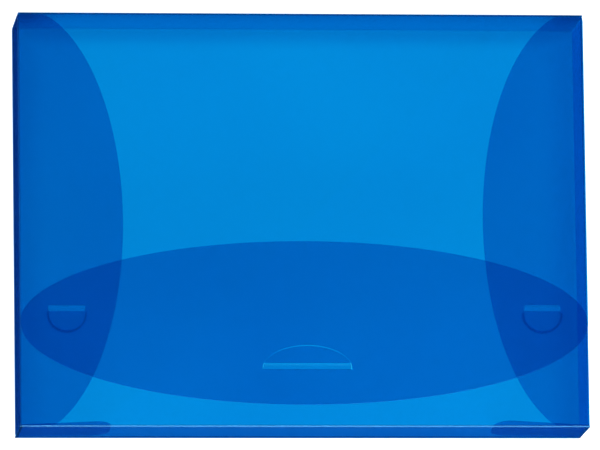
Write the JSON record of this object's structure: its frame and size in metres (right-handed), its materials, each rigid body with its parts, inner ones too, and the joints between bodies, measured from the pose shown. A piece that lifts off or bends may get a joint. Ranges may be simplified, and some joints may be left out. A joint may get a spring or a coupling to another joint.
{
  "type": "document box",
  "caption": "Flat translucent box folded from one creased sheet, with a hinged lid flap, dust flaps, tucked corner tabs and tongue-and-slot locks.",
  "frame": {"origin": "middle of the footprint on the surface that the back lies on", "axes": "+Z is the way the front faces, +X is right, +Y runs from the bottom wall to the lid's fold"},
  "size_m": [0.33, 0.242, 0.0511],
  "materials": {
    "sheet": "translucent blue plastic sheet, satin",
    "crease": "translucent blue plastic, thinned and polished along the crease"
  },
  "bodies": {
    "tray": {"back_panel": "sheet", "bottom_wall": "sheet", "front_panel": "sheet", "left_side_wall": "sheet", "right_side_wall": "sheet", "left_dust_flap": "sheet", "right_dust_flap": "sheet", "left_lock_tongue": "sheet", "right_lock_tongue": "sheet", "back_bottom_crease": "crease", "front_bottom_crease": "crease", "left_back_crease": "crease", "right_back_crease": "crease", "left_flap_crease": "crease", "right_flap_crease": "crease"},
    "top_wall": {"top_wall": "sheet", "back_top_crease": "crease"},
    "lid": {"lid_flap": "sheet", "lid_crease": "crease"},
    "centre_tongue": {"centre_lock_tongue": "sheet", "centre_tongue_crease": "crease"},
    "left_tab": {"left_corner_tab": "sheet", "left_tab_crease": "crease"},
    "right_tab": {"right_corner_tab": "sheet", "right_tab_crease": "crease"}
  },
  "joints": [
    {"name": "top_wall_fold", "type": "hinge", "parent": "tray", "child": "top_wall", "pos_m": [0, 0.1206, 0.0004], "axis": [-1, 0, 0], "range_deg": [0, 90]},
    {"name": "lid_fold", "type": "hinge", "parent": "top_wall", "child": "lid", "pos_m": [0, 0.1206, 0.0496], "axis": [-1, 0, 0], "range_deg": [0, 90]},
    {"name": "centre_tongue_bend", "type": "hinge", "parent": "tray", "child": "centre_tongue", "pos_m": [0, -0.0851, 0.0507], "axis": [1, 0, 0], "range_deg": [0, 90]},
    {"name": "left_tab_fold", "type": "hinge", "parent": "tray", "child": "left_tab", "pos_m": [-0.1642, -0.1191, 0.02], "axis": [0, 0, 1], "range_deg": [0, 80]},
    {"name": "right_tab_fold", "type": "hinge", "parent": "tray", "child": "right_tab", "pos_m": [0.1642, -0.1191, 0.02], "axis": [0, 0, -1], "range_deg": [0, 80]}
  ]
}
